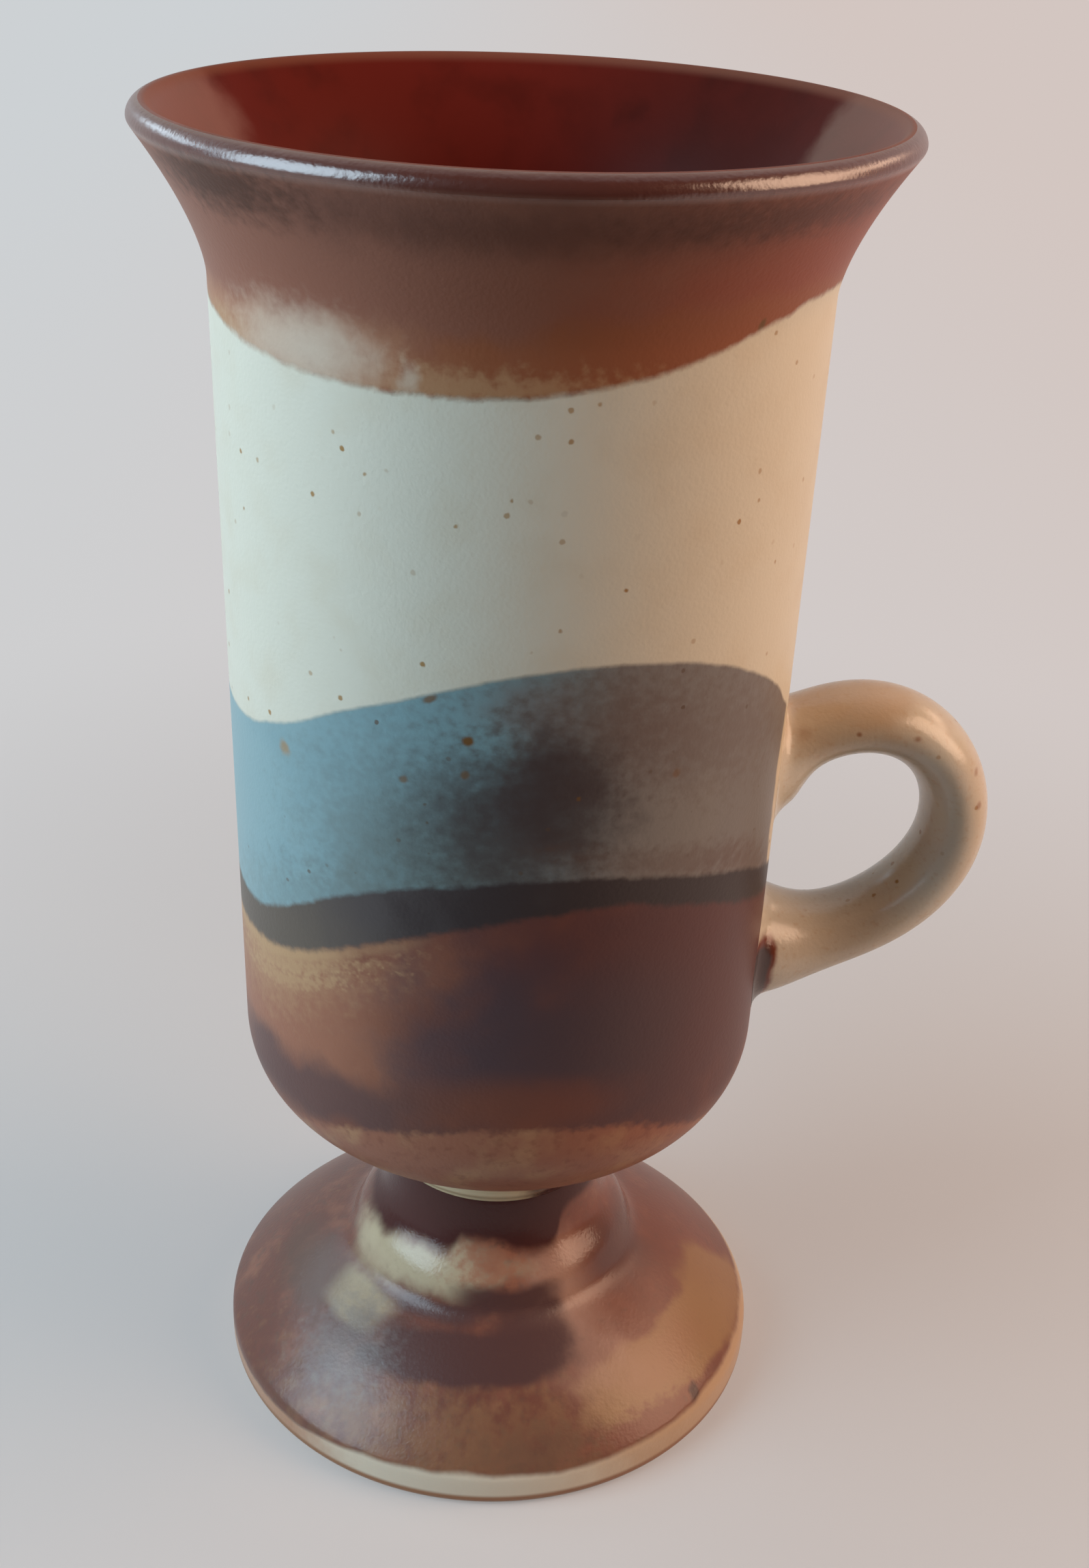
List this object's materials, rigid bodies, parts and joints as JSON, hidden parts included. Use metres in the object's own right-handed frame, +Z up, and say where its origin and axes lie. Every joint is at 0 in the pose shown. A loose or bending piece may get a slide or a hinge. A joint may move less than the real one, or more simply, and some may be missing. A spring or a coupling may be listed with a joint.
{
  "type": "pedestal mug",
  "caption": "Tall stoneware mug with a flared lip and round bottom on a stepped hollow pedestal foot, with a small pulled ear handle low on one side, for hot drinks.",
  "frame": {"origin": "middle of the mug's footprint, rim and handle together, on the surface that it stands on", "axes": "+Z up along the cup, +X towards the handle, +Y across the handle's plane"},
  "size_m": [0.0928, 0.0754, 0.15],
  "materials": {
    "cup_glaze": "satin",
    "foot_glaze": "gloss",
    "neck_slip_glaze": "gloss",
    "handle_glaze": "satin",
    "handle_slip_glaze": "satin"
  },
  "bodies": {
    "root": {"cup_body": "cup_glaze", "pedestal_foot": "foot_glaze", "neck_slip_joint": "neck_slip_glaze", "handle": "handle_glaze", "handle_upper_slip_joint": "handle_slip_glaze", "handle_lower_slip_joint": "handle_slip_glaze"}
  },
  "joints": []
}
